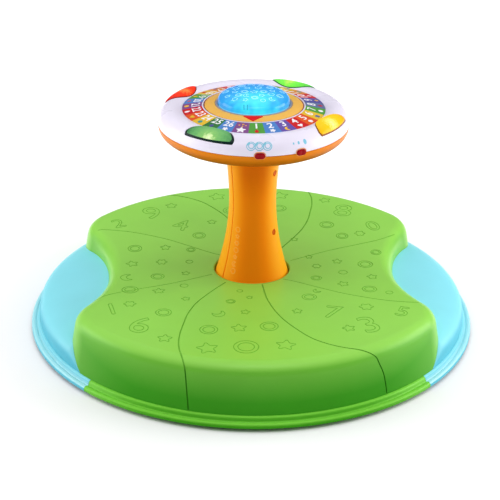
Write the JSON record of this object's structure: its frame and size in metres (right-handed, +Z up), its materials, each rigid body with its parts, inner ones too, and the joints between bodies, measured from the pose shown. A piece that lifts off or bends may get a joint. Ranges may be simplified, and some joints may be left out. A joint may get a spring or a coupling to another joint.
{
  "type": "toddler spinning seat",
  "caption": "Low round spinning seat with two lobes for a small child, turned by hand round a fixed column and wheel with light-up buttons.",
  "frame": {"origin": "centre of the underside, on the floor, on the axis that the seat turns about", "axes": "+Z up along the turning axis; the seat's two lobes lie along +Y and -Y and its waists face +X and -X"},
  "size_m": [0.508, 0.508, 0.2775],
  "materials": {
    "seat_green": "satin gloss",
    "panel_blue": "satin gloss",
    "column_orange": "satin gloss",
    "crown_white": "gloss",
    "ring_amber": "gloss",
    "arrow_red": "gloss",
    "knob_red": "satin",
    "dome_blue": "clear gloss",
    "button_green": "translucent gloss",
    "button_yellow": "translucent gloss",
    "button_red": "translucent gloss",
    "label_print": "printed film",
    "pad_rubber": "matte",
    "inner_grey": "matte",
    "bush_nylon": "natural",
    "screw_steel": "zinc plated",
    "board_green": "lacquered",
    "cell_skin": "printed sleeve"
  },
  "bodies": {
    "base": {"floor_plate": "inner_grey", "foot_pad_1": "pad_rubber", "foot_pad_2": "pad_rubber", "foot_pad_3": "pad_rubber", "foot_pad_4": "pad_rubber", "post": "inner_grey", "post_bolt": "screw_steel", "post_lock_ring": "inner_grey", "column_front_shell": "column_orange", "column_rear_shell": "column_orange", "column_screw_upper": "screw_steel", "column_screw_lower": "screw_steel", "head_lower_housing": "column_orange", "head_top_shell": "crown_white", "label_ring": "label_print", "dial_bush": "bush_nylon", "circuit_board": "board_green", "speaker": "inner_grey", "battery_box": "inner_grey", "battery_cell_1": "cell_skin", "battery_cell_2": "cell_skin", "battery_cell_3": "cell_skin", "battery_door": "column_orange", "battery_door_screw": "screw_steel", "key_pad_front_left": "pad_rubber", "key_pad_front_right": "pad_rubber", "key_pad_back_right": "pad_rubber", "key_pad_back_left": "pad_rubber", "mode_switch_body": "inner_grey", "volume_switch_body": "inner_grey", "head_screw_front": "screw_steel", "head_screw_right": "screw_steel", "head_screw_left": "screw_steel"},
    "seat": {"seat_shell": "seat_green", "side_panel_left": "panel_blue", "side_panel_right": "panel_blue", "turntable_plate": "inner_grey", "hub_bush": "bush_nylon", "seat_screw_1": "screw_steel", "seat_screw_2": "screw_steel", "seat_screw_3": "screw_steel", "seat_screw_4": "screw_steel", "side_panel_left_screw": "screw_steel", "side_panel_right_screw": "screw_steel"},
    "dial": {"dial_hub": "inner_grey", "pointer_ring": "ring_amber", "pointer_arrow": "arrow_red", "dome_lens": "dome_blue"},
    "roller_1": {"roller_1": "bush_nylon"},
    "roller_2": {"roller_2": "bush_nylon"},
    "roller_3": {"roller_3": "bush_nylon"},
    "roller_4": {"roller_4": "bush_nylon"},
    "roller_5": {"roller_5": "bush_nylon"},
    "roller_6": {"roller_6": "bush_nylon"},
    "button_front_left": {"button_front_left": "button_green"},
    "button_front_right": {"button_front_right": "button_yellow"},
    "button_back_right": {"button_back_right": "button_green"},
    "button_back_left": {"button_back_left": "button_red"},
    "mode_knob": {"mode_knob": "knob_red"},
    "volume_knob": {"volume_knob": "knob_red"}
  },
  "joints": [
    {"name": "seat_spin", "type": "hinge", "parent": "base", "child": "seat", "pos_m": [0, 0, 0.03], "axis": [0, 0, 1], "continuous": true},
    {"name": "dial_spin", "type": "hinge", "parent": "base", "child": "dial", "pos_m": [0, 0, 0.25], "axis": [0, 0, 1], "continuous": true},
    {"name": "roller_1_spin", "type": "hinge", "parent": "seat", "child": "roller_1", "pos_m": [0.1299, 0.075, 0.0186], "axis": [0.866, 0.5, 0], "continuous": true},
    {"name": "roller_2_spin", "type": "hinge", "parent": "seat", "child": "roller_2", "pos_m": [0, 0.15, 0.0186], "axis": [0, 1, 0], "continuous": true},
    {"name": "roller_3_spin", "type": "hinge", "parent": "seat", "child": "roller_3", "pos_m": [-0.1299, 0.075, 0.0186], "axis": [-0.866, 0.5, 0], "continuous": true},
    {"name": "roller_4_spin", "type": "hinge", "parent": "seat", "child": "roller_4", "pos_m": [-0.1299, -0.075, 0.0186], "axis": [-0.866, -0.5, 0], "continuous": true},
    {"name": "roller_5_spin", "type": "hinge", "parent": "seat", "child": "roller_5", "pos_m": [0, -0.15, 0.0186], "axis": [0, -1, 0], "continuous": true},
    {"name": "roller_6_spin", "type": "hinge", "parent": "seat", "child": "roller_6", "pos_m": [0.1299, -0.075, 0.0186], "axis": [0.866, -0.5, 0], "continuous": true},
    {"name": "button_front_left_press", "type": "slide", "parent": "base", "child": "button_front_left", "axis": [0, 0, -1], "range_m": [0, 0.002], "stiffness_N_per_m": 800},
    {"name": "button_front_right_press", "type": "slide", "parent": "base", "child": "button_front_right", "axis": [0, 0, -1], "range_m": [0, 0.002], "stiffness_N_per_m": 800},
    {"name": "button_back_right_press", "type": "slide", "parent": "base", "child": "button_back_right", "axis": [0, 0, -1], "range_m": [0, 0.002], "stiffness_N_per_m": 800},
    {"name": "button_back_left_press", "type": "slide", "parent": "base", "child": "button_back_left", "axis": [0, 0, -1], "range_m": [0, 0.002], "stiffness_N_per_m": 800},
    {"name": "mode_knob_slide", "type": "slide", "parent": "base", "child": "mode_knob", "axis": [0.9998, 0.0209, 0], "range_m": [-0.003, 0.003]},
    {"name": "volume_knob_slide", "type": "slide", "parent": "base", "child": "volume_knob", "axis": [0.9003, 0.4352, 0], "range_m": [-0.003, 0.003]}
  ],
  "couplings": [
    {"joint": "roller_1_spin", "follows": "seat_spin", "ratio": -12.5},
    {"joint": "roller_2_spin", "follows": "seat_spin", "ratio": -12.5},
    {"joint": "roller_3_spin", "follows": "seat_spin", "ratio": -12.5},
    {"joint": "roller_4_spin", "follows": "seat_spin", "ratio": -12.5},
    {"joint": "roller_5_spin", "follows": "seat_spin", "ratio": -12.5},
    {"joint": "roller_6_spin", "follows": "seat_spin", "ratio": -12.5}
  ]
}
